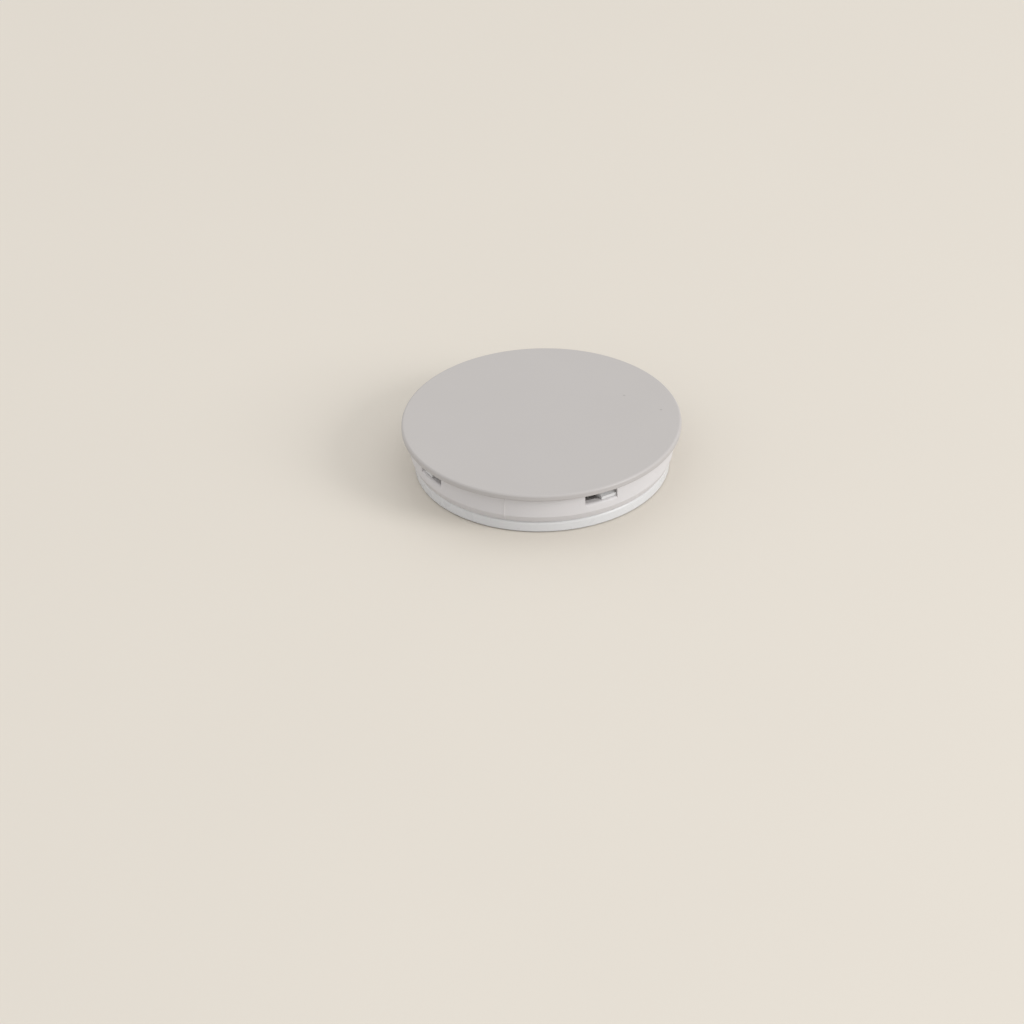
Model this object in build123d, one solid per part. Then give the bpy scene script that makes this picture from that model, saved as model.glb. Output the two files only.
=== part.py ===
from build123d import *
import os
from math import asin, degrees

# Collapsible finger grip, folded flat, in millimetres.
# The origin is the centre of the adhesive pad's lower face, and +Z runs up through the finger disc.

# Finger disc
disc_radius = 20.0
disc_thickness = 1.0
disc_top_rounding = 0.35
disc_under_rounding = 0.25

# Room between the base plate and the disc when the grip is folded
folded_room = 4.5

# Collar: how far the disc reaches past it, its wall, its tapered foot, and the seam under it
finger_overhang = 1.18
collar_wall = 1.2
collar_draft = 0.1
collar_top_rounding = 0.2
collar_foot_height = 1.0
collar_foot_taper = 0.42
collar_foot_rounding = 0.25
collar_seam = 0.15
collar_disc_gap = 0.15
lip_thickness = 0.7
lip_rounding = 0.2
lip_gap = 0.25

# Base plate with a rounded rim, and the adhesive pad in its pocket
base_inset = 0.58
base_thickness = 1.7
base_rim_rounding = 0.5
base_edge_rounding = 0.25
rim_width = 1.35
pad_thickness = 0.8
pad_standout = 0.1
pad_clearance = 0.15
locating_ring_width = 0.6
locating_ring_height = 0.7
locating_ring_gap = 0.2
small_rounding = 0.1

# Notches in the collar, and the snap hooks of the base plate that catch in them.
# Two notches stand either side of the front, -Y, spread by this angle, and two behind.
notch_spread = 84.0
notch_width = 5.1
notch_depth = 1.95
notch_edge_rounding = 0.4
hook_width = 2.4
hook_thickness = 0.75
hook_nose = 0.45
hook_lead_rise = 0.45
hook_setback = 0.4
hook_back_gap = 0.25
hook_end_gap = 0.05
hook_catch_gap = 0.05
hook_slot_gap = 0.15

# Accordion: flange, upright walls, sloping webs that flip over, and hub
flange_thickness = 0.7
flange_width = 1.05
flange_gap = 0.3
pleat_count = 3
pleat_wall = 0.8
web_depth = 1.1
fold_gap = 0.2
fold_rounding = 0.3
crease_rounding = 0.2
hub_wall = 2.5
hub_skirt = 0.55

# Hub core, and the split stud of the disc that snaps into it
stud_radius = 2.6
stud_bore_radius = 1.2
stud_slot_width = 0.9
stud_root = 1.0
barb_catch = 0.55
barb_length = 1.3
barb_taper = 0.85
barb_gap = 0.2
tip_gap = 0.25
core_wall = 0.65
core_flange_thickness = 0.7
core_flange_gap = 0.1
running_clearance = 0.05

# Heights
base_z = pad_standout
floor_z = base_z + base_thickness
seam_z = floor_z + collar_seam
collar_foot_z = seam_z + collar_foot_height
disc_z = floor_z + folded_room
top_z = disc_z + disc_thickness
collar_top_z = disc_z - collar_disc_gap
notch_z = collar_top_z - notch_depth
flange_z = floor_z + flange_thickness
lip_z = flange_z + lip_thickness
fold_low_z = floor_z + fold_gap
fold_high_z = disc_z - fold_gap
core_flange_z = fold_low_z + core_flange_thickness
core_top_z = disc_z - running_clearance
tip_z = fold_low_z + tip_gap
barb_z = tip_z + barb_length
ledge_z = barb_z + running_clearance
slot_top_z = disc_z - stud_root

# Radii, from the outside in
collar_radius = disc_radius - finger_overhang
collar_bore = collar_radius - collar_wall
base_radius = collar_radius - base_inset
seat_radius = base_radius - base_rim_rounding
pocket_radius = base_radius - rim_width
pad_radius = pocket_radius - pad_clearance
hook_outer = collar_bore - hook_back_gap
hook_inner = hook_outer - hook_thickness
hook_nose_radius = collar_radius - hook_setback
flange_radius = hook_inner - flange_gap
foot_radius = flange_radius - flange_width
lip_radius = foot_radius + lip_gap
ring_outer = foot_radius - pleat_wall - locating_ring_gap
ring_inner = ring_outer - locating_ring_width

# Radii, from the stud out
core_bore = stud_radius + running_clearance
barb_radius = stud_radius + barb_catch
core_socket_radius = barb_radius + barb_gap
core_radius = core_socket_radius + core_wall
hub_bore = core_radius + running_clearance
hub_radius = hub_bore + hub_wall
hub_socket_radius = hub_radius - hub_skirt
core_flange_radius = hub_socket_radius - core_flange_gap

# Each web flips from sloping down to sloping up, so the disc rises by twice the rise of every web
pleat_pitch = (foot_radius - hub_radius) / pleat_count
pleat_rise = fold_high_z - fold_low_z - web_depth
travel = 2 * pleat_count * pleat_rise

# The hooks stand at the notch ends away from the front and back, so the collar can't turn
hook_shift = degrees(asin(((notch_width - hook_width) / 2 - hook_end_gap) / hook_nose_radius))
cut_margin = 1.0


def turned(outline):
    """Solid of revolution about Z, from a closed outline of (radius, height, corner rounding)."""
    points = [(radius, height) for radius, height, rounding in outline]
    roundings = [rounding for radius, height, rounding in outline]
    wire = Plane.XZ * FilletPolyline(*points, radius=roundings, close=True)
    return revolve(make_face(wire), Axis.Z)


def block(low, high):
    """Box between two opposite corners."""
    size = Vector(*high) - Vector(*low)
    corner = (Align.MIN, Align.MIN, Align.MIN)
    return Pos(*low) * Box(size.X, size.Y, size.Z, align=corner)


def around(shape, shift=0.0):
    """Copies of a shape at the four notches, each turned by a shift away from the front or back."""
    half = notch_spread / 2 + shift
    return [Rot(0, 0, side + turn) * shape for side in (90, 270) for turn in (-half, half)]


def make_adhesive_pad():
    return Cylinder(pad_radius, pad_thickness, align=(Align.CENTER, Align.CENTER, Align.MIN))


def make_base_plate():
    """Round plate with a bead-like rim, a pocket below, a locating ring and four snap hooks."""
    plate = turned(
        [
            (0, pad_thickness, 0),
            (pocket_radius, pad_thickness, 0),
            (pocket_radius, base_z, small_rounding),
            (base_radius, base_z, base_edge_rounding),
            (base_radius, floor_z, base_rim_rounding),
            (ring_outer, floor_z, 0),
            (ring_outer, floor_z + locating_ring_height, small_rounding),
            (ring_inner, floor_z + locating_ring_height, small_rounding),
            (ring_inner, floor_z, 0),
            (0, floor_z, 0),
        ]
    )
    catch_z = notch_z + hook_catch_gap
    nose_z = catch_z + hook_nose
    outline = Polyline(
        (hook_inner, pad_thickness),
        (hook_outer, pad_thickness),
        (hook_outer, catch_z),
        (hook_nose_radius, catch_z),
        (hook_nose_radius, nose_z),
        (hook_inner, nose_z + hook_lead_rise),
        close=True,
    )
    hook = extrude(make_face(Plane.XZ * outline), amount=hook_width / 2, both=True)
    return plate + around(hook, hook_shift)


def make_collar():
    """Upright ring that stands on the base plate, with a clamping lip, hook slots and notches."""
    ring = turned(
        [
            (lip_radius, flange_z, 0),
            (lip_radius, lip_z, lip_rounding),
            (collar_bore, lip_z, lip_rounding),
            (collar_bore, collar_top_z, 0),
            (collar_radius - collar_draft, collar_top_z, collar_top_rounding),
            (collar_radius, collar_foot_z, collar_foot_rounding),
            (collar_radius - collar_foot_taper, seam_z, small_rounding),
            (seat_radius, seam_z, 0),
            (seat_radius, floor_z, 0),
            (hook_inner, floor_z, 0),
            (hook_inner, flange_z, 0),
        ]
    )
    half_notch = notch_width / 2
    notch = block(
        (hook_inner, -half_notch, notch_z),
        (collar_radius + cut_margin, half_notch, collar_top_z + cut_margin),
    )
    half_slot = hook_width / 2 + hook_slot_gap
    slot = block(
        (hook_inner - hook_slot_gap, -half_slot, floor_z - cut_margin),
        (hook_outer + hook_slot_gap, half_slot, lip_z + cut_margin),
    )
    collar = ring - around(notch) - around(slot, hook_shift)
    # The floor of each notch is rounded along its outer edge
    ledges = collar.edges().filter_by(GeomType.CIRCLE).filter_by_position(Axis.Z, notch_z, notch_z)
    return fillet(ledges.group_by(SortBy.RADIUS)[-1], notch_edge_rounding)


def make_accordion():
    """Folding wall of upright rings joined by sloping webs, with a clamped flange and a hub."""
    walls_out = [foot_radius - i * pleat_pitch for i in range(pleat_count + 1)]
    walls_in = [radius - pleat_wall for radius in walls_out[:-1]]
    outline = [
        (flange_radius, floor_z, 0),
        (flange_radius, flange_z, 0),
        (foot_radius, flange_z, 0),
    ]
    for outer, inner, following in zip(walls_out, walls_in, walls_out[1:]):
        outline += [
            (outer, fold_high_z, fold_rounding),
            (inner, fold_high_z, fold_rounding),
            (following, fold_high_z - pleat_rise, crease_rounding),
        ]
    outline += [
        (hub_radius, disc_z, fold_rounding),
        (hub_bore, disc_z, 0),
        (hub_bore, core_flange_z, 0),
        (hub_socket_radius, core_flange_z, 0),
        (hub_socket_radius, fold_low_z, small_rounding),
        (hub_radius, fold_low_z, small_rounding),
    ]
    for outer, inner in reversed(list(zip(walls_out[1:], walls_in[1:]))):
        outline += [
            (inner, fold_low_z + pleat_rise, crease_rounding),
            (inner, fold_low_z, fold_rounding),
            (outer, fold_low_z, fold_rounding),
        ]
    outline += [
        (walls_in[0], fold_low_z + pleat_rise, crease_rounding),
        (walls_in[0], floor_z, 0),
    ]
    return turned(outline)


def make_hub_core():
    """Flanged bush in the accordion's hub, bored for the stud, with a ledge that its barbs catch."""
    return turned(
        [
            (core_socket_radius, fold_low_z, 0),
            (core_flange_radius, fold_low_z, small_rounding),
            (core_flange_radius, core_flange_z, 0),
            (core_radius, core_flange_z, 0),
            (core_radius, core_top_z, small_rounding),
            (core_bore, core_top_z, small_rounding),
            (core_bore, ledge_z, 0),
            (core_socket_radius, ledge_z, 0),
        ]
    )


def make_top_disc():
    """Flat disc with rounded edges and a hollow barbed stud below, split crosswise to spring."""
    disc = turned(
        [
            (0, top_z, 0),
            (disc_radius, top_z, disc_top_rounding),
            (disc_radius, disc_z, disc_under_rounding),
            (stud_radius, disc_z, 0),
            (stud_radius, barb_z, 0),
            (barb_radius, barb_z, small_rounding),
            (barb_radius - barb_taper, tip_z, small_rounding),
            (stud_bore_radius, tip_z, 0),
            (stud_bore_radius, slot_top_z, 0),
            (0, slot_top_z, 0),
        ]
    )
    half_slot = stud_slot_width / 2
    reach = barb_radius + cut_margin
    slot = block((-reach, -half_slot, tip_z - cut_margin), (reach, half_slot, slot_top_z))
    return disc - slot - Rot(0, 0, 90) * slot


pieces = {
    "adhesive_pad": make_adhesive_pad(),
    "base_plate": make_base_plate(),
    "collar": make_collar(),
    "accordion": make_accordion(),
    "hub_core": make_hub_core(),
    "top_disc": make_top_disc(),
}
os.makedirs("parts", exist_ok=True)
for name, piece in pieces.items():
    export_step(piece, f"parts/{name}.step")
print(f"folded height {top_z:.2f} mm, pop-out travel {travel:.2f} mm")
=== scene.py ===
# %% [markdown]
# The packed grip as a fixed frame
#
# This lesson dresses a collapsible finger grip. A flat disc rides on a folding accordion, a snapped
# collar holds the accordion on a base plate, and a foam pad under the plate sticks to a flat face.
# The solids were built at their real size, so the script only loads them and never moves them.
# The hard mouldings keep their shapes and get clean shading and finishes. The accordion and the pad
# are soft, so they are modelled again as smooth surfaces that stand for their plain solids.

# %% Load the frame
import bmesh
import bpy
import math
import numpy as np
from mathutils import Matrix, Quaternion, Vector


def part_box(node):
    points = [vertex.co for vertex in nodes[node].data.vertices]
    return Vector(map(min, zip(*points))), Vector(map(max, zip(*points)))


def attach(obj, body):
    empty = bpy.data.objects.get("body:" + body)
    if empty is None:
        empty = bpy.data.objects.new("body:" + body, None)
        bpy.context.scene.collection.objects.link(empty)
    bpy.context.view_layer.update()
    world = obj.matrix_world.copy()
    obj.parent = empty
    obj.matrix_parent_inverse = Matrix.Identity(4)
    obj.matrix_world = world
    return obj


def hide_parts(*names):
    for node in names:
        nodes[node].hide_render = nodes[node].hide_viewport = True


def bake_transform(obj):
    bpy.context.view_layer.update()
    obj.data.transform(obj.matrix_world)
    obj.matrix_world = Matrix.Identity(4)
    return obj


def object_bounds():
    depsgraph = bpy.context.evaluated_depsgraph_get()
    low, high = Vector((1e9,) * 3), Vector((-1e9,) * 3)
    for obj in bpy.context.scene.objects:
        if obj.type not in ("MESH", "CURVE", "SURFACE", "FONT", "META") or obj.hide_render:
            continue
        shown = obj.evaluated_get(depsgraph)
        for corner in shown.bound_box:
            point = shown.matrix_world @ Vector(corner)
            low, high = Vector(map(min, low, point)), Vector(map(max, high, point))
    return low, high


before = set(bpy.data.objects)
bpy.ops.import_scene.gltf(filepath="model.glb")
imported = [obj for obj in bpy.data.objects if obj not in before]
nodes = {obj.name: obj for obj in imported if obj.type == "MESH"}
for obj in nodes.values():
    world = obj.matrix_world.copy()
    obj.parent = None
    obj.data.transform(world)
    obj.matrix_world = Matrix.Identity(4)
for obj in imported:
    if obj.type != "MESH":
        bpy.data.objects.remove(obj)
cad_low, cad_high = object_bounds()
MM = 0.001
grip_size = [round(side / MM, 2) for side in cad_high - cad_low]
print("nodes:", ", ".join(sorted(nodes)))
print("folded grip in mm:", grip_size)

# %% [markdown]
# The camera
#
# The picture looks down on the grip from a little to the right of its front. The lens is long, so
# the round disc shows as an even ellipse with almost no perspective. A camera could be turned by
# hand until it looks right, but here its direction, distance and aim are plain numbers, so the
# grip falls on the same place in the frame on every run. The roll is the small tilt of the horizon.

# %% Camera
view_azimuth, view_elevation, camera_roll = 15.7, 32.4, -1.35
view_distance = 914.97 * MM
aim_front, aim_left = 12.65 * MM, 4.42 * MM
lens_length, sensor_width = 224.4, 36.0


def direction(azimuth, elevation):
    """Unit vector away from the grip: azimuth 0 is its front, -Y, and 90 its right side, +X."""
    turn, rise = math.radians(azimuth), math.radians(elevation)
    level = math.cos(rise)
    return Vector((math.sin(turn) * level, -math.cos(turn) * level, math.sin(rise)))


def add_object(name, data):
    """New object at the origin with this data, shown in the scene."""
    thing = bpy.data.objects.new(name, data)
    bpy.context.scene.collection.objects.link(thing)
    return thing


def look(thing, place, target):
    """Puts a camera or lamp at a place, looking at a target with its top upwards."""
    thing.location = place
    thing.rotation_mode = "QUATERNION"
    thing.rotation_quaternion = (target - place).to_track_quat("-Z", "Y")


camera = add_object("camera", bpy.data.cameras.new("camera"))
camera.data.lens = lens_length
camera.data.sensor_width = sensor_width
aim = direction(view_azimuth, 0) * aim_front - direction(view_azimuth + 90, 0) * aim_left
look(camera, direction(view_azimuth, view_elevation) * view_distance, aim)
roll = Quaternion((0, 0, 1), math.radians(camera_roll))
camera.rotation_quaternion = camera.rotation_quaternion @ roll
bpy.context.scene.camera = camera
bpy.context.scene.view_settings.view_transform = "Standard"
print("camera at", [round(side, 4) for side in camera.location])

# %% [markdown]
# Shader maths as plain expressions
#
# A finish is a tree of nodes. Such a tree could be wired by hand in the shader editor, but it is
# hard to read back and to change. A small class that wraps one output socket lets the script
# write mask * 0.5 or 1 - mask instead, and each sign adds one Math node.

# %% Wire
class Wire:
    """One output of a node. The signs + - * / with wires or numbers add Math nodes to its tree."""

    def __init__(self, finish, socket):
        self.finish = finish
        self.socket = socket

    def out(self, name):
        """Another output of the same node."""
        return Wire(self.finish, self.socket.node.outputs[name])

    def math(self, operation, *terms):
        """Math node of one operation on the terms, or on this wire alone."""
        return self.finish.node("ShaderNodeMath", {"operation": operation}, enumerate(terms or [self]))

    def __add__(self, other):
        return self.math("ADD", self, other)

    def __sub__(self, other):
        return self.math("SUBTRACT", self, other)

    def __rsub__(self, other):
        return self.math("SUBTRACT", other, self)

    def __mul__(self, other):
        return self.math("MULTIPLY", self, other)

    def __truediv__(self, other):
        return self.math("DIVIDE", self, other)

    def __rtruediv__(self, other):
        return self.math("DIVIDE", other, self)

    __radd__ = __add__
    __rmul__ = __mul__


print("wire signs: + - * / with wires or numbers on either side")

# %% [markdown]
# Any node from one method
#
# Every other node comes from one method. It sets the node up first, because a setting such as a
# data type can change which sockets the node has, and then sets or links the sockets.

# %% Tree
class Tree:
    """A node tree to which node() adds any node."""

    def __init__(self, tree):
        self.tree = tree

    def node(self, kind, settings=None, sockets=(), out=0):
        """Adds a node, applies its settings, then sets or links its sockets. Gives an output, if any."""
        node = self.tree.nodes.new(kind)
        for name, value in (settings or {}).items():
            setattr(node, name, value)
        for key, value in dict(sockets).items():
            if isinstance(value, Wire):
                self.tree.links.new(value.socket, node.inputs[key])
            else:
                node.inputs[key].default_value = value
        return Wire(self, node.outputs[out]) if node.outputs else None


print("a tree adds nodes by type, settings and sockets")

# %% [markdown]
# Colours
#
# A colour picked from a screen isn't in proportion to light: half the screen value is only about a
# fifth of the light. Shaders work with light, so colours are written below as the screen values that a
# reader knows and turned into linear light by the standard curve of screens.

# %% Colour
screen_white = 255
curve_knee, curve_slope, curve_offset, curve_power = 0.04045, 12.92, 0.055, 2.4


def srgb(red, green, blue, level=1.0):
    """Linear colour of screen values from 0 to 255, made lighter or darker by a level.

    Up to the knee, the screen value is divided by the slope. Above it, the offset is added, the sum
    is divided by one plus the offset, and the result is raised to the power.
    """
    screen = np.array((red, green, blue)) / screen_white
    curve = ((screen + curve_offset) / (1 + curve_offset)) ** curve_power
    linear = np.where(screen <= curve_knee, screen / curve_slope, curve)
    return (*(level * linear).tolist(), 1.0)


print("screen grey 188 is linear", round(srgb(188, 188, 188)[0], 3))

# %% [markdown]
# Patterns that the finishes share
#
# Moulded plastic looks even from afar, but close up it has grain, tool marks, smudges and dust.
# Pictures of them would need files and an unwrapped surface. Patterns worked out from the place in
# space need neither and have no seams. The place is turned into millimetres first, so that every
# size below reads like a size on a drawing.

# %% Finish
# A Mix node has its own sockets for each type of data, and these are the places of the colour ones
mix_share, mix_first, mix_second, mix_result = 0, 6, 7, 2


class Finish(Tree):
    """A tree with the patterns of these finishes."""

    def place(self):
        """Object coordinates in millimetres, so that patterns are sized as on a drawing."""
        metres = self.node("ShaderNodeTexCoord", out="Object")
        return self.node("ShaderNodeVectorMath", {"operation": "SCALE"}, {0: metres, "Scale": 1 / MM})

    def stretched(self, place, factors):
        """The place with each axis multiplied, which draws a pattern out along the small factors."""
        return self.node("ShaderNodeVectorMath", {"operation": "MULTIPLY"}, {0: place, 1: factors})

    def lumps(self, place, size, detail=2.0):
        """Noise from 0 to 1 with lumps of about this size."""
        return self.node(
            "ShaderNodeTexNoise", None, {"Vector": place, "Scale": 1 / size, "Detail": detail}
        )

    def radius(self, place):
        """Distance from the grip's axis: the root of x squared plus y squared."""
        x = self.node("ShaderNodeSeparateXYZ", None, {0: place})
        y = x.out("Y")
        return (x * x + y * y).math("SQRT")

    def ramp(self, value, low, high):
        """Smooth step from 0 at low to 1 at high."""
        limits = {"Value": value, "From Min": low, "From Max": high}
        return self.node("ShaderNodeMapRange", {"interpolation_type": "SMOOTHSTEP"}, limits)

    def mix(self, share, first, second):
        """Colour that goes from the first to the second as the share goes from 0 to 1."""
        sockets = {mix_share: share, mix_first: first, mix_second: second}
        return self.node("ShaderNodeMix", {"data_type": "RGBA"}, sockets, out=mix_result)

    def drifting(self, place, size, white, spread):
        """Colour that drifts over lumps of a size, lighter and darker than the white by the spread."""
        darker, lighter = srgb(*white, level=1 - spread), srgb(*white, level=1 + spread)
        return self.mix(self.lumps(place, size), darker, lighter)

    def varied(self, noise, middle, spread):
        """Roughness that a noise from 0 to 1 moves half the spread either way from the middle."""
        return middle + spread * (noise - 0.5)

    def seen(self):
        """One for rays from the camera, reflections and glass, nought for light that bounces."""
        rays = self.node("ShaderNodeLightPath", out="Is Camera Ray")
        return rays + rays.out("Is Glossy Ray") + rays.out("Is Transmission Ray")

    def bump(self, height, depth, under=None):
        """Surface normal of a height from 0 to 1 that stands this deep in mm, over another bump."""
        sockets = {"Height": height, "Distance": depth * MM}
        if under:
            sockets["Normal"] = under
        return self.node("ShaderNodeBump", None, sockets)


print("patterns:", ", ".join(name for name in vars(Finish) if not name.startswith("_")))

# %% [markdown]
# One shader for every surface
#
# All the pieces are plastic, rubber or foam, so one Principled shader serves them all. Numbers that
# hold for the whole surface are set on the shader itself. Only colour, roughness and the bumped
# normal change from place to place, and they are linked last.

# %% Surface
class Surface(Finish):
    """A material with one Principled shader, with constants set on the shader's own sockets."""

    def __init__(self, name, constants):
        self.material = bpy.data.materials.new(name)
        self.material.use_nodes = True
        super().__init__(self.material.node_tree)
        self.shader = self.tree.nodes["Principled BSDF"]
        for key, value in constants.items():
            self.shader.inputs[key].default_value = value

    def feed(self, colour, roughness, normal):
        """Links what changes over the surface to the shader, and gives the finished material."""
        for key, wire in (("Base Color", colour), ("Roughness", roughness), ("Normal", normal)):
            self.tree.links.new(wire.socket, self.shader.inputs[key])
        print(f"{self.material.name}: {len(self.tree.nodes)} nodes")
        return self.material


print("what may vary over a surface: colour, roughness, normal")

# %% [markdown]
# Rounded outlines
#
# Most of the pieces are round, so each starts as the outline of its section, a list of corners with
# their roundings. A bevel could round the corners of a rough mesh afterwards, but it is simpler to put
# the arcs into the outline itself. All corners are worked out together as arrays, with no loop over
# points. The centres of the arcs are kept too, because the true normals of a rim point away from them.

# %% Outline
arc_steps = 6
least_step = 1e-6


def corner_centres(corners):
    """Centre, first spoke and turn of the arc at each corner (radius, height, rounding) of an outline.

    The centre lies on the corner's bisector, rounding over the sine of half the corner's angle away.
    The spoke runs from it to the first tangent point, and turns by a half turn less that angle.
    """
    corners = np.array(corners, float)
    point, rounding = corners[:, :2], corners[:, 2:]
    before = np.roll(point, 1, axis=0) - point
    after = np.roll(point, -1, axis=0) - point
    before /= np.linalg.norm(before, axis=1, keepdims=True)
    after /= np.linalg.norm(after, axis=1, keepdims=True)
    half = np.arccos(np.clip((before * after).sum(1, keepdims=True), -1, 1)) / 2
    bisector = (before + after) / (2 * np.cos(half))
    centre = point + bisector * rounding / np.sin(half)
    spoke = point + before * rounding / np.tan(half) - centre
    side = np.sign(before[:, 1:] * after[:, :1] - before[:, :1] * after[:, 1:])
    return centre, spoke, side * (math.pi - 2 * half)


def corner_arcs(corners):
    """Points of the arc at each corner: its spoke turned evenly about its centre.

    A corner with no rounding gives its own place as every point of its arc.
    """
    centre, spoke, turn = corner_centres(corners)
    turn = turn * np.linspace(0, 1, arc_steps + 1)
    along = spoke[:, :1] * np.cos(turn) - spoke[:, 1:] * np.sin(turn)
    across = spoke[:, :1] * np.sin(turn) + spoke[:, 1:] * np.cos(turn)
    return centre[:, None] + np.stack([along, across], axis=-1)


def rounded(corners):
    """Closed outline with rounded corners, as one row of points with no point twice."""
    points = corner_arcs(corners).reshape(-1, 2)
    step = np.linalg.norm(points - np.roll(points, 1, axis=0), axis=1)
    return points[step > least_step]


def rims(corners):
    """Ring (radius, height, rounding) of the arc centres of each rounded corner of a turned outline.

    A hollow corner turns against the outline as a whole, and its rounding is negative.
    """
    centre, spoke, turn = corner_centres(corners)
    rounding = np.linalg.norm(spoke, axis=1) * np.sign(turn[:, 0] * turn.sum())
    return np.column_stack([centre, rounding])[rounding != 0].tolist()


block_corners = [(1, 0, 0.2), (2, 0, 0.2), (2, 1, 0.2), (1, 1, 0.2)]
print("a block with four rounded corners has", len(rounded(block_corners)), "points")

# %% [markdown]
# True normals on the rims
#
# Shading follows the normals at the points of a mesh, and Blender averages them from the faces around
# each point. On a narrow rim those faces are small and uneven, so the average wavers and the light
# breaks up. Where the outline of a piece is known, so are the true normals: they lie along the spokes
# of its arcs. They are set on all the face corners of a rim at once.

# %% True rims
rim_tolerance, rim_agreement = 0.002, 0.5


def mesh_points(mesh):
    """Points of a mesh in mm, read as one array."""
    points = np.empty(len(mesh.vertices) * 3, np.float32)
    mesh.vertices.foreach_get("co", points)
    return points.reshape(-1, 3) / MM


def corner_indices(mesh):
    """Point of every face corner of a mesh, read as one array."""
    corners = np.empty(len(mesh.loops), np.int32)
    mesh.loops.foreach_get("vertex_index", corners)
    return corners


def smooth_rims(mesh, rings):
    """Gives the face corners on rims their true normals, from rings (radius, height, rounding).

    A corner lies on a rim if it is the rounding away from the ring and already faces much the same
    way. Its normal then points straight away from the ring, or towards it where the rounding is
    negative. Other corners keep theirs.
    """
    normals = np.empty(len(mesh.loops) * 3, np.float32)
    mesh.corner_normals.foreach_get("vector", normals)
    normals = normals.reshape(-1, 3)
    points = mesh_points(mesh)[corner_indices(mesh)]
    radius = np.maximum(np.hypot(points[:, 0], points[:, 1]), rim_tolerance)
    for ring_radius, ring_height, rounding in rings:
        out, up = radius - ring_radius, points[:, 2] - ring_height
        level = points[:, :2] * (out / radius)[:, None]
        true = np.column_stack([level, up]) / rounding
        on_rim = np.abs(np.hypot(out, up) - abs(rounding)) < rim_tolerance
        on_rim &= (normals * true).sum(1) > rim_agreement
        normals[on_rim] = true[on_rim]
    mesh.normals_split_custom_set(normals.tolist())


print("a face corner is on a rim if it lies within", rim_tolerance, "mm of it")

# %% [markdown]
# From arrays to a piece
#
# A mesh is a list of points and a list of faces, and both are worked out as whole arrays. Points that
# lie on each other are welded, so light runs smoothly over the joins, and only edges of more than
# forty degrees stay crisp. Two open ends are bridged. A piece that comes with the rings of its rims
# gets their true normals. On any other, a Weighted Normal modifier lets the largest faces decide, so
# that a flat face looks flat right up to its rounded edge.

# %% Mesh piece
sharp_angle = math.radians(40)
weld_distance = 0.0001
face_weight = 80


def make_piece(name, points, faces, material, rings=()):
    """Mesh piece from points in mm and faces: welded, closed, with normals outwards.

    Where welding shrinks a face to nothing, as at a pole, the sliver and its bare edge are taken out.
    """
    mesh = bpy.data.meshes.new(name)
    mesh.from_pydata((points * MM).tolist(), [], faces)
    shape = bmesh.new()
    shape.from_mesh(mesh)
    bmesh.ops.remove_doubles(shape, verts=shape.verts, dist=weld_distance * MM)
    bmesh.ops.dissolve_degenerate(shape, edges=shape.edges, dist=weld_distance * MM)
    bare_edges = [edge for edge in shape.edges if edge.is_wire]
    bmesh.ops.delete(shape, geom=bare_edges, context="EDGES")
    ends = [edge for edge in shape.edges if edge.is_boundary]
    if ends:
        bmesh.ops.bridge_loops(shape, edges=ends)
    bmesh.ops.recalc_face_normals(shape, faces=shape.faces)
    open_edges = sum(not edge.is_manifold for edge in shape.edges)
    shape.to_mesh(mesh)
    shape.free()
    mesh.shade_smooth()
    mesh.set_sharp_from_angle(angle=sharp_angle)
    mesh.materials.append(material)
    piece = add_object(name, mesh)
    if rings:
        smooth_rims(mesh, rings)
    else:
        shading = piece.modifiers.new("even_shading", "WEIGHTED_NORMAL")
        shading.keep_sharp = True
        shading.weight = face_weight
    print(f"{name}: {len(mesh.vertices)} points, {len(mesh.polygons)} faces, {open_edges} open edges")
    return piece


print("pieces keep edges sharper than", round(math.degrees(sharp_angle)), "degrees crisp")

# %% [markdown]
# Turning on a lathe
#
# An outline becomes a surface when it is carried around the axis, as on a lathe. The points form a
# grid, with one row for each turn and one column for each point of the outline, and the grid closes
# on itself both ways. A Screw modifier could do the same, but with the arrays at hand the script can
# also say later how far each point moves.

# %% Lathe
def even_turns(count):
    """Turns about the axis in even steps, from nought to just short of a full turn."""
    return np.linspace(0, 2 * math.pi, count, endpoint=False)


def turned(outline, turns):
    """Surface of revolution: the point (r, z) at the turn t goes to (r cos t, r sin t, z)."""
    turn = turns[:, None]
    radius, height = outline.T
    height = np.broadcast_to(height, (len(turns), len(height)))
    return np.stack([np.cos(turn) * radius, np.sin(turn) * radius, height], axis=-1)


def wrapped_quads(rows, columns):
    """Faces of a grid of points that closes on itself both ways, along its rows and columns."""
    index = np.arange(rows * columns).reshape(rows, columns)
    over = np.roll(index, -1, axis=0)
    quads = [index, over, np.roll(over, -1, axis=1), np.roll(index, -1, axis=1)]
    return np.stack(quads, axis=-1).reshape(-1, 4)


def joined(grids):
    """Points and faces of several such grids together."""
    starts = np.cumsum([0] + [grid.shape[0] * grid.shape[1] for grid in grids[:-1]])
    points = np.concatenate([grid.reshape(-1, 3) for grid in grids])
    faces = [wrapped_quads(*grid.shape[:2]) + start for grid, start in zip(grids, starts)]
    return points, np.concatenate(faces).tolist()


print("a grid of 4 by 3 points that closes both ways has", len(wrapped_quads(4, 3)), "faces")

# %% [markdown]
# Clean shading for the mouldings
#
# The disc, the collar, the base plate and the hub core are hard mouldings, and their solids have the
# right shape. But a solid comes as loose triangles whose normals are averaged over flat faces and
# roundings alike, and that shows as dashes of light along every rim. Rounding the edges again would
# change the shape. So the collar and the core are copies with the same points, welded and given clean
# normals. The disc and the base plate have long rims in full view. Those are turned afresh from the
# same outline, and the rest keeps the solid's own triangles. Each piece stands for its solid.

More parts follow.
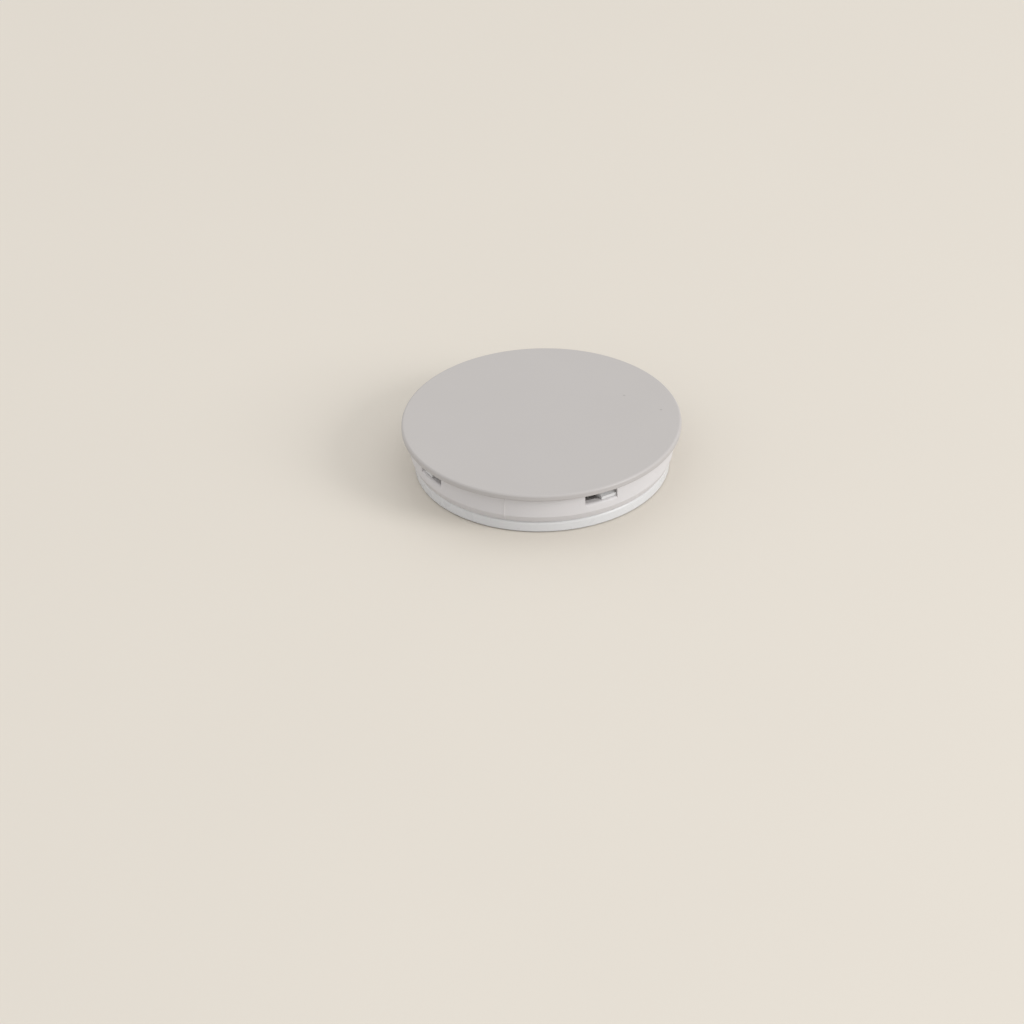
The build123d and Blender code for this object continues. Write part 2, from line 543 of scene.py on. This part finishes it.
# %% Mouldings
def solid_arrays(node):
    """Points in mm and triangles of a solid's mesh, read as whole arrays."""
    mesh = nodes[node].data
    return mesh_points(mesh), corner_indices(mesh).reshape(-1, 3)


def place_moulding(piece, node, body):
    """Lets a piece stand for a solid, which is hidden, riding on its body."""
    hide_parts(node)
    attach(piece, body)


def part_turned(node, outline, turns, kept):
    """Points and faces of an open outline turned about the axis, and of the kept part of a solid.

    The turned part has no faces from the last point of the outline back to the first. The kept part
    is every triangle of the solid whose three points are all marked as kept.
    """
    grid = turned(outline, turns)
    rows, columns = grid.shape[:2]
    quads = wrapped_quads(rows, columns).reshape(rows, columns, 4)[:, :-1].reshape(-1, 4)
    points, triangles = solid_arrays(node)
    used, part = np.unique(triangles[kept[triangles].all(axis=1)], return_inverse=True)
    faces = quads.tolist() + (part.reshape(-1, 3) + rows * columns).tolist()
    return np.concatenate([grid.reshape(-1, 3), points[used]]), faces


def copy_moulding(node, body, material, rings=()):
    """Copy of a solid with clean shading, which stands for the solid."""
    points, triangles = solid_arrays(node)
    piece = make_piece(f"{node}_moulding", points, triangles.tolist(), material, rings)
    place_moulding(piece, node, body)


print("mouldings:", ", ".join(node for node in nodes if node not in ("accordion", "adhesive_pad")))

# %% [markdown]
# The finger disc
#
# The disc is moulded in a warm white plastic. Its mould was spark eroded, which leaves a very fine
# satin grain, so reflections are broad and soft. A flat colour would look like paint in a diagram.
# Here the grain is noise a tenth of a millimetre wide in a bump, fingers leave slow changes of
# gloss, the colour drifts by a percent or so, and two tiny specks of dust lie on the top.

# %% Disc finish
disc_white = (196, 192, 190)
disc_gloss, smudge_gloss = 0.36, 0.12
grain_size, grain_depth = 0.11, 0.0035
smudge_size, smudge_detail = 3.5, 4.0
drift_size, disc_drift = 9.0, 0.015
disc_top = cad_high.z / MM
disc_specks = [(9.8, 9.3, disc_top), (15.9, 6.8, disc_top)]
speck_core, speck_edge, speck_level = 0.08, 0.26, 0.80


def disc_plastic():
    """Satin white: drifting colour, dust specks, smudged gloss and a spark-eroded grain."""
    finish = Surface("disc_plastic", {"IOR": 1.46, "Specular IOR Level": 0.45})
    place = finish.place()
    colour = finish.drifting(place, drift_size, disc_white, disc_drift)
    for speck in disc_specks:
        reach = finish.node(
            "ShaderNodeVectorMath", {"operation": "DISTANCE"}, {0: place, 1: speck}, out="Value"
        )
        dust_and_shade = 1 - finish.ramp(reach, speck_core, speck_edge)
        colour = finish.mix(dust_and_shade, colour, srgb(*disc_white, level=speck_level))
    smudges = finish.lumps(place, smudge_size, smudge_detail)
    grain = finish.lumps(place, grain_size)
    roughness = finish.varied(smudges, disc_gloss, smudge_gloss)
    return finish.feed(colour, roughness, finish.bump(grain, grain_depth))


disc_finish = disc_plastic()

# %% [markdown]
# The disc's even rim
#
# The disc is the largest thing in view, and light runs all along its rim, so the rim has to be even.
# The solid's rim has uneven rows of triangles, which show as teeth in the thin dark line below it.
# So the plate is turned afresh from the same outline, in many even steps. The split stud below it has
# flat cuts that a lathe can't give, so it keeps the solid's own triangles. The flat ring between the
# two is left open, and bridging closes it.

# %% Disc piece
disc_thickness, disc_top_rounding, disc_under_rounding = 1.0, 0.35, 0.25
disc_radius, disc_under = cad_high.x / MM, disc_top - disc_thickness
disc_turns, stud_reach = 360, 4.0
disc_corners = [
    (0, disc_top, 0),
    (disc_radius, disc_top, disc_top_rounding),
    (disc_radius, disc_under, disc_under_rounding),
    (0, disc_under, 0),
]


def disc_arrays():
    """Points and faces of the turned plate, open below, and of the solid's stud, open above.

    The stud is what lies within the reach of the axis and below the plate's top.
    """
    middle, top_rim, under_rim, _ = corner_arcs(disc_corners)
    outline = np.concatenate([middle[:1], top_rim, under_rim])
    x, y, z = solid_arrays("top_disc")[0].T
    stud = (np.hypot(x, y) < stud_reach) & (z < disc_top - disc_top_rounding)
    return part_turned("top_disc", outline, even_turns(disc_turns), stud)


disc = make_piece("top_disc_moulding", *disc_arrays(), disc_finish, rims(disc_corners))
place_moulding(disc, "top_disc", "top")

# %% [markdown]
# The collar
#
# The collar is an upright ring that snaps over the hooks of the base plate. Its mould was cut with
# upright strokes, and they show as faint upright marks in the wall. Noise that is drawn out along the
# height gives them, in the bump and a little in the gloss. Low down beside the seam the colour is a
# touch darker in patches, as painted shade.

# %% Collar finish
collar_white = (225, 222, 222)
collar_gloss, stroke_gloss = 0.36, 0.10
stroke_size, stroke_depth, stroke_stretch = 0.30, 0.0020, (1.0, 1.0, 0.08)
collar_drift = 0.01
collar_low, collar_top_z = (corner.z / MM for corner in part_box("collar"))
# painted shade low down beside the seam: its height, share and level
seam_shade_height, seam_shade_share, seam_shade_level = 0.9, 0.5, 0.88


def collar_plastic():
    """Warm white with upright tool marks and patches of painted shade above the seam."""
    finish = Surface("collar_plastic", {"IOR": 1.46, "Specular IOR Level": 0.5})
    place = finish.place()
    height = finish.node("ShaderNodeSeparateXYZ", None, {0: place}, out="Z")
    clean = finish.drifting(place, drift_size, collar_white, collar_drift)
    # painted shade: the colour darkens in patches low down, beside the seam with the base plate
    dust_and_shade = 1 - finish.ramp(height, collar_low, collar_low + seam_shade_height)
    dust_and_shade = dust_and_shade * seam_shade_share * finish.lumps(place, smudge_size)
    colour = finish.mix(dust_and_shade, clean, srgb(*collar_white, level=seam_shade_level))
    marks = finish.lumps(finish.stretched(place, stroke_stretch), stroke_size)
    roughness = finish.varied(marks, collar_gloss, stroke_gloss)
    return finish.feed(colour, roughness, finish.bump(marks, stroke_depth))


collar_finish = collar_plastic()

# %% [markdown]
# The collar's rims
#
# Four notches are cut into the top edge of the collar and four slots through the lip inside it. A
# lathe can't give those, so the piece is a copy of its solid. Its section is still written down here,
# without the seat below the lip, because its arcs give the true normals of the rims. The floor of each
# notch has a rounded outer edge about the same axis, and that is one more ring.

# %% Collar piece
collar_radius, collar_draft, collar_wall, collar_seam = 18.82, 0.10, 1.2, 0.15
collar_foot_height, collar_foot_taper = 1.0, 0.42
collar_top_rounding, collar_foot_rounding, edge_rounding = 0.2, 0.25, 0.1
lip_radius, lip_height, lip_rounding = 15.52, 1.4, 0.2
ledge_depth, ledge_rounding = 1.95, 0.4

seam_z, lip_z = collar_low + collar_seam, collar_low + lip_height
foot_z, ledge_z = seam_z + collar_foot_height, collar_top_z - ledge_depth
bore_radius = collar_radius - collar_wall
collar_corners = [
    (lip_radius, seam_z, 0),
    (lip_radius, lip_z, lip_rounding),
    (bore_radius, lip_z, lip_rounding),
    (bore_radius, collar_top_z, 0),
    (collar_radius - collar_draft, collar_top_z, collar_top_rounding),
    (collar_radius, foot_z, collar_foot_rounding),
    (collar_radius - collar_foot_taper, seam_z, edge_rounding),
]
drafted_radius = collar_radius - collar_draft * (ledge_z - foot_z) / (collar_top_z - foot_z)
notch_ledge = (drafted_radius - ledge_rounding, ledge_z - ledge_rounding, ledge_rounding)
collar_rings = rims(collar_corners) + [notch_ledge]
copy_moulding("collar", "base", collar_finish, collar_rings)

# %% [markdown]
# The base plate
#
# The plate below the collar is moulded apart, in a cooler and glossier white, and its rim shows as
# a bright rounded bead. Glossy mouldings are never dead flat: a slow waviness, much like orange
# peel, bends their reflections. A wide shallow bump gives that, and handling leaves slow changes of
# gloss. Finer noise would look like a sanded surface, which this rim isn't.

# %% Base finish
base_white = (228, 228, 228)
base_gloss, handled_gloss = 0.28, 0.05
base_drift = 0.01
peel_size, peel_depth = 1.1, 0.0008


def base_plastic():
    """Cool glossy white with orange peel and slow changes of gloss."""
    finish = Surface("base_plastic", {"IOR": 1.49, "Specular IOR Level": 0.5})
    place = finish.place()
    colour = finish.drifting(place, drift_size, base_white, base_drift)
    peel = finish.lumps(place, peel_size)
    smudges = finish.lumps(place, smudge_size, smudge_detail)
    roughness = finish.varied(smudges, base_gloss, handled_gloss)
    return finish.feed(colour, roughness, finish.bump(peel, peel_depth))


base_finish = base_plastic()

# %% [markdown]
# The base plate's even rim
#
# The rim is a bright band with a thin dark line of shadow below it, and there the solid's uneven
# triangles show as teeth, as on the disc. So the rim and the underside, with the pocket for the pad,
# are turned afresh. The snap hooks and a low ring stand on the upper side, which keeps the solid's own
# triangles. The lathe stops at the very turns of that side's outer edge, so the two weld together.

# %% Base piece
base_rim_rounding, base_edge_rounding, rim_width = 0.5, 0.25, 1.35
base_low_corner, base_high_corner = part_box("base_plate")
base_radius, base_low = base_high_corner.x / MM, base_low_corner.z / MM
floor_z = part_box("accordion")[0].z / MM
pad_top_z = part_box("adhesive_pad")[1].z / MM
turn_digits = 6

pocket_radius = base_radius - rim_width
base_corners = [
    (0, pad_top_z, 0),
    (pocket_radius, pad_top_z, 0),
    (pocket_radius, base_low, edge_rounding),
    (base_radius, base_low, base_edge_rounding),
    (base_radius, floor_z, base_rim_rounding),
    (0, floor_z, 0),
]


def base_arrays():
    """Points and faces of the turned rim and underside, and of the solid's upper side.

    The upper side is all that lies on or above the plate's floor. Its round outer edge gives the
    turns of the lathe, so that the two meet point by point.
    """
    middle, pocket, pocket_rim, lower_rim, upper_rim, _ = corner_arcs(base_corners)
    outline = np.concatenate([middle[:1], pocket[:1], pocket_rim, lower_rim, upper_rim])
    x, y, z = solid_arrays("base_plate")[0].T
    upper = z > floor_z - rim_tolerance
    seam = np.hypot(x, y) - (base_radius - base_rim_rounding)
    edge = upper & (np.hypot(seam, z - floor_z) < rim_tolerance)
    turns = np.unique(np.round(np.arctan2(y[edge], x[edge]), turn_digits))
    return part_turned("base_plate", outline, turns, upper)


base = make_piece("base_plate_moulding", *base_arrays(), base_finish, rims(base_corners))
place_moulding(base, "base_plate", "base")

# %% [markdown]
# The hub core
#
# The core is the bush in the middle of the accordion that the disc's stud snaps into. Cutters
# turned its mould, so it has fine rings around its axis. A sine of the distance from the axis
# makes rings, and noise breaks their evenness.

# %% Hub core
core_white = (212, 209, 205)
core_gloss, ring_gloss = 0.45, 0.10
core_drift = 0.015
ring_pitch, ring_depth = 0.22, 0.0015


def turning_rings(finish, place, pitch):
    """Rings around the axis, from 0 to 1: half of one plus a sine that repeats at each pitch."""
    turns = finish.radius(place) * (2 * math.pi / pitch)
    return 0.5 + 0.5 * turns.math("SINE")


def core_plastic():
    """Satin white with turning rings."""
    finish = Surface("core_plastic", {"IOR": 1.46, "Specular IOR Level": 0.45})
    place = finish.place()
    colour = finish.drifting(place, smudge_size, core_white, core_drift)
    rings = turning_rings(finish, place, ring_pitch) * finish.lumps(place, smudge_size)
    roughness = finish.varied(rings, core_gloss, ring_gloss)
    return finish.feed(colour, roughness, finish.bump(rings, ring_depth))


copy_moulding("hub_core", "carriage", core_plastic())

# %% [markdown]
# The accordion
#
# The accordion is one soft moulding: a clamped flange, three upright rings, three sloping webs
# and a hub. Folded, every web slopes down inwards. Pulled out, each web flips and slopes up,
# so the rings climb out of each other like a telescope. Its outline follows the solid and is
# turned about the axis with rounded folds.

# %% Accordion outline
accordion_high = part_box("accordion")[1]
hub_top_z = accordion_high.z / MM
flange_radius, flange_width, flange_thickness = accordion_high.x / MM, 1.05, 0.7
pleat_count, pleat_wall, web_depth = 3, 0.8, 1.1
fold_gap, fold_rounding, crease_rounding = 0.2, 0.3, 0.2
hub_radius, hub_bore, hub_socket_radius, hub_socket_depth = 6.55, 4.05, 6.0, 0.7

foot_radius = flange_radius - flange_width
flange_z = floor_z + flange_thickness
low_z, high_z = floor_z + fold_gap, hub_top_z - fold_gap
web_rise = high_z - low_z - web_depth
wall_outer = np.linspace(foot_radius, hub_radius, pleat_count + 1)
wall_inner = wall_outer[:-1] - pleat_wall


def ring_corners(*corners):
    """Corners (radii, height, rounding) of every ring, gathered ring by ring."""
    columns = [np.stack(np.broadcast_arrays(*corner), axis=-1) for corner in corners]
    return np.stack(columns, axis=1).reshape(-1, 3)


def accordion_outline():
    """Closed outline: flange, folds from the outside in, hub, and the folds' undersides back out."""
    flange = [(flange_radius, floor_z, 0), (flange_radius, flange_z, 0), (foot_radius, flange_z, 0)]
    upper = ring_corners(
        (wall_outer[:-1], high_z, fold_rounding),
        (wall_inner, high_z, fold_rounding),
        (wall_outer[1:], high_z - web_rise, crease_rounding),
    )
    socket_z = low_z + hub_socket_depth
    hub = [
        (hub_radius, hub_top_z, fold_rounding),
        (hub_bore, hub_top_z, edge_rounding),
        (hub_bore, socket_z, 0),
        (hub_socket_radius, socket_z, 0),
        (hub_socket_radius, low_z, edge_rounding),
        (hub_radius, low_z, edge_rounding),
    ]
    under = ring_corners(
        (wall_inner[:0:-1], low_z + web_rise, crease_rounding),
        (wall_inner[:0:-1], low_z, fold_rounding),
        (wall_outer[-2:0:-1], low_z, fold_rounding),
    )
    foot = [(wall_inner[0], low_z + web_rise, crease_rounding), (wall_inner[0], floor_z, 0)]
    return rounded(np.concatenate([flange, upper, hub, under, foot]))


fold_outline = accordion_outline()
print(f"accordion outline: {len(fold_outline)} points, every web rises {web_rise:.2f} mm")

# %% [markdown]
# The rubber
#
# The accordion is moulded in a soft white rubber. It is matt, because its mould was blasted, and
# cutters left faint rings in the mould. Where a web meets a wall the colour is greyer, as painted
# shade in those creases. A picture wrapped round the folds would stretch. The distance from the axis,
# taken within each pleat, finds the creases in every fold alike.

# %% Accordion finish
rubber_white = (216, 214, 211)
rubber_gloss, rubber_grain_gloss = 0.62, 0.10
rubber_drift = 0.02
mould_pitch, mould_depth = 0.35, 0.0040
rubber_grain, rubber_grain_depth = 0.07, 0.0030
# painted shade in the creases: how far it reaches and how dark it is
crease_shade_reach, crease_shade_level = 0.8, 0.86


def accordion_rubber():
    """Matt white rubber with mould rings and a fine grain, and painted shade where a web meets a wall.
    """
    finish = Surface("accordion_rubber", {"IOR": 1.42, "Specular IOR Level": 0.35})
    place = finish.place()
    radius = finish.radius(place)
    pitch = (foot_radius - hub_radius) / pleat_count
    into_pleat = ((foot_radius - radius) / pitch).math("FRACT") * pitch
    # painted shade in the creases, where a web meets a wall
    crease_shade = finish.ramp(into_pleat, pitch - crease_shade_reach, pitch)
    crease_shade = crease_shade * finish.lumps(place, smudge_size)
    clean = finish.drifting(place, drift_size, rubber_white, rubber_drift)
    colour = finish.mix(crease_shade, clean, srgb(*rubber_white, level=crease_shade_level))
    rings = finish.bump(turning_rings(finish, place, mould_pitch), mould_depth)
    grain = finish.lumps(place, rubber_grain)
    roughness = finish.varied(grain, rubber_gloss, rubber_grain_gloss)
    return finish.feed(colour, roughness, finish.bump(grain, rubber_grain_depth, under=rings))


rubber = accordion_rubber()

# %% [markdown] The accordion's piece Its outline is turned about the axis, and each point's share of
# the hub's travel is worked out from its radius.

# %% Accordion piece
accordion_turns = 192
accordion_grid = turned(fold_outline, even_turns(accordion_turns))
accordion = make_piece("accordion_folds", *joined([accordion_grid]), rubber)
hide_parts("accordion")
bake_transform(accordion)


def climb_shares(piece):
    """Share of the travel by radius: even over each web, level over each wall."""
    radius = np.hypot(*mesh_points(piece.data).T[:2])
    ends = np.stack([wall_inner, wall_outer[1:]], axis=1).ravel()
    shares = np.repeat(np.arange(pleat_count + 1) / pleat_count, 2)[1:-1]
    return np.interp(radius, ends[::-1], shares[::-1])


shares = climb_shares(accordion).astype(np.float32)
print("accordion climb shares from", shares.min(), "to", shares.max())

# %% [markdown]
# The pad's foam
#
# The pad in the pocket of the base plate is foam, with a tacky film on its lower face. Foam is full of
# pores, less than half a millimetre wide. As holes in the mesh they would take a great many faces.
# Here they are the cells of a Voronoi pattern, darkened with painted shade in the colour and sunk in the
# bump.

# %% Pad finish
foam_white = (205, 203, 197)
foam_gloss, film_gloss = 0.83, 0.68
foam_drift = 0.03
pore_size, pore_core, pore_edge = 0.42, 0.10, 0.30
pore_depth, pore_shade_level = 0.020, 0.78


def adhesive_foam():
    """Off-white foam with sunken pores darkened by painted shade, under a slightly shiny film."""
    finish = Surface("adhesive_foam", {"IOR": 1.40, "Specular IOR Level": 0.4})
    place = finish.place()
    cells = finish.node("ShaderNodeTexVoronoi", None, {"Vector": place, "Scale": 1 / pore_size})
    solid = finish.ramp(cells, pore_core, pore_edge)
    skin = finish.drifting(place, smudge_size, foam_white, foam_drift)
    # painted shade: the pores are darker in the colour
    colour = finish.mix(solid, srgb(*foam_white, level=pore_shade_level), skin)
    roughness = foam_gloss + (film_gloss - foam_gloss) * solid
    return finish.feed(colour, roughness, finish.bump(solid, pore_depth))


foam = adhesive_foam()

# %% [markdown]
# The adhesive pad
#
# The pad is cut from a sheet with a die. The cutter squeezes the foam, so the edge springs back with a
# slight waist and soft corners, which a plain bevelled cylinder would lack. The outline is turned from
# the axis, and its points on the axis are welded into one pole on each face.

# %% Pad piece
pad_low, pad_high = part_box("adhesive_pad")
pad_radius, pad_z = pad_high.x / MM, pad_low.z / MM
pad_waist, pad_rounding, waist_rounding = 0.10, 0.15, 0.30
pad_turns = 160

pad_corners = [
    (0, pad_z, 0),
    (pad_radius, pad_z, pad_rounding),
    (pad_radius - pad_waist, (pad_z + pad_top_z) / 2, waist_rounding),
    (pad_radius, pad_top_z, pad_rounding),
    (0, pad_top_z, 0),
]
pad_grid = turned(rounded(pad_corners), even_turns(pad_turns))
pad = make_piece("adhesive_pad_foam", *joined([pad_grid]), foam)
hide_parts("adhesive_pad")
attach(pad, "base")

# %% [markdown]
# The collar's parting lines
#
# The collar's mould closes from two sides, and where its halves meet they leave a hair-fine raised
# line down the wall, front and back. It could be a line in the bump, but a real ridge also
# catches light at its edge. A small ellipse is carried down the wall's outline, half of it
# sunk in the wall, and shrinks to a point at both ends.

# %% Parting lines
parting_turns = (-1.3, 178.7)
ridge_width, ridge_height = 0.22, 0.070
ridge_steps, ridge_sides, ridge_power = 40, 12, 6
outer_corners = 3


def parting_ridge(turn):
    """Ellipse (w cos a, h sin a) carried down the collar's wall at a turn from the front.

    The ellipse lies across the path: its width runs around the collar and its height along the
    wall's outward normal. The root of one minus an even power of the place from -1 to 1 shrinks it.
    """
    wall = corner_arcs(collar_corners)[-outer_corners:].reshape(-1, 2)[::-1]
    reach = np.append(0, np.cumsum(np.linalg.norm(np.diff(wall, axis=0), axis=1)))
    along = np.linspace(0, reach[-1], ridge_steps)
    path = np.stack([np.interp(along, reach, side) for side in wall.T], axis=1)
    forward = np.gradient(path, axis=0)
    forward /= np.linalg.norm(forward, axis=1, keepdims=True)
    outward = np.stack([forward[:, 1], -forward[:, 0]], axis=1)
    shrink = np.sqrt(1 - np.linspace(-1, 1, ridge_steps) ** ridge_power)[:, None]
    angle = even_turns(ridge_sides)
    across = shrink * np.cos(angle) * ridge_width / 2
    proud = shrink * np.sin(angle) * ridge_height
    radius = path[:, :1] + outward[:, :1] * proud
    height = path[:, 1:] + outward[:, 1:] * proud
    front = np.array(direction(turn, 0))
    side = np.array(direction(turn + 90, 0))
    up = np.array((0.0, 0.0, 1.0))
    return radius[..., None] * front + across[..., None] * side + height[..., None] * up


ridges = [parting_ridge(turn) for turn in parting_turns]
parting_lines = make_piece("collar_parting_lines", *joined(ridges), collar_finish)
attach(parting_lines, "base")

# %% [markdown]
# The floor
#
# The grip stands on a plain pale floor that only has to carry its shadow. A grid of a few points
# is enough. It reaches some metres out, past the edge of every view, and its colour drifts
# slightly, as a painted board does. Light that bounces off it meets a darker paint than the camera
# sees, so that a pale floor doesn't light up the underside of the disc.

# %% Floor
floor_reach, floor_count = 4000.0, 5
floor_pale, floor_bounce = (231, 224, 213), (190, 186, 181)
floor_gloss, roller_gloss = 0.75, 0.10
floor_grain, floor_grain_depth = 0.6, 0.004
floor_drift_size, floor_drift = 60.0, 0.015


def floor_board():
    """Pale matt paint with a slow drift of colour and a fine roller grain."""
    finish = Surface("floor_board", {"Specular IOR Level": 0.3})
    place = finish.place()
    paint = finish.drifting(place, floor_drift_size, floor_pale, floor_drift)
    colour = finish.mix(finish.seen(), srgb(*floor_bounce), paint)
    grain = finish.lumps(place, floor_grain)
    roughness = finish.varied(grain, floor_gloss, roller_gloss)
    return finish.feed(colour, roughness, finish.bump(grain, floor_grain_depth))


def floor_grid(reach, count):
    """Level grid: x and y from minus to plus the reach, z nought."""
    side = np.linspace(-reach, reach, count)
    x, y = np.meshgrid(side, side, indexing="ij")
    index = np.arange(count * count).reshape(count, count)
    corners = [index[:-1, :-1], index[1:, :-1], index[1:, 1:], index[:-1, 1:]]
    points = np.stack([x, y, np.zeros_like(x)], axis=-1).reshape(-1, 3)
    return points * MM, np.stack(corners, axis=-1).reshape(-1, 4)


floor_mesh = bpy.data.meshes.new("floor")
floor_points, floor_faces = floor_grid(floor_reach, floor_count)
floor_mesh.from_pydata(floor_points.tolist(), [], floor_faces.tolist())
floor_mesh.materials.append(floor_board())
add_object("floor", floor_mesh)
print("floor reaches", floor_reach * MM, "m each way")

# %% [markdown]
# The light
#
# The grip stands in the soft light of a white room, with one large lamp fairly low on its right.
# The room is the world's colour, at a level where a surface that faces up renders about as it is
# written. The lamp brightens the right and front of the collar, leaves its left in shade and
# throws a soft shadow to the left. Facing it, a white surface gets as bright as the lamp's power over
# the square of pi times the distance, so the power follows from the share of white that it is to add.
# The camera and reflections see the floor's pale colour where the world shows, and that adds no light.

# %% World and lamp
room_level, backdrop_level = 0.82, 0.9
lamp_share = 0.40
lamp_azimuth, lamp_elevation = view_azimuth + 66.0, 24.0
lamp_distance, lamp_size = 1.2, 0.5

world = bpy.data.worlds.new("room")
world.use_nodes = True
bpy.context.scene.world = world
room = Finish(world.node_tree)
room.tree.nodes.clear()
white = srgb(screen_white, screen_white, screen_white)
light = room.node("ShaderNodeBackground", None, {"Color": white, "Strength": room_level})
pale = srgb(*floor_pale)
backdrop = room.node("ShaderNodeBackground", None, {"Color": pale, "Strength": backdrop_level})
shown = room.node("ShaderNodeMixShader", None, {0: room.seen(), 1: light, 2: backdrop})
room.node("ShaderNodeOutputWorld", None, {"Surface": shown})

lamp = add_object("lamp", bpy.data.lights.new("lamp", "AREA"))
lamp.data.size = lamp_size
lamp.data.energy = math.pi**2 * lamp_share * lamp_distance**2
look(lamp, direction(lamp_azimuth, lamp_elevation) * lamp_distance, Vector())
print(f"room level {room_level}, lamp {lamp.data.energy:.1f} W")

# %% [markdown]
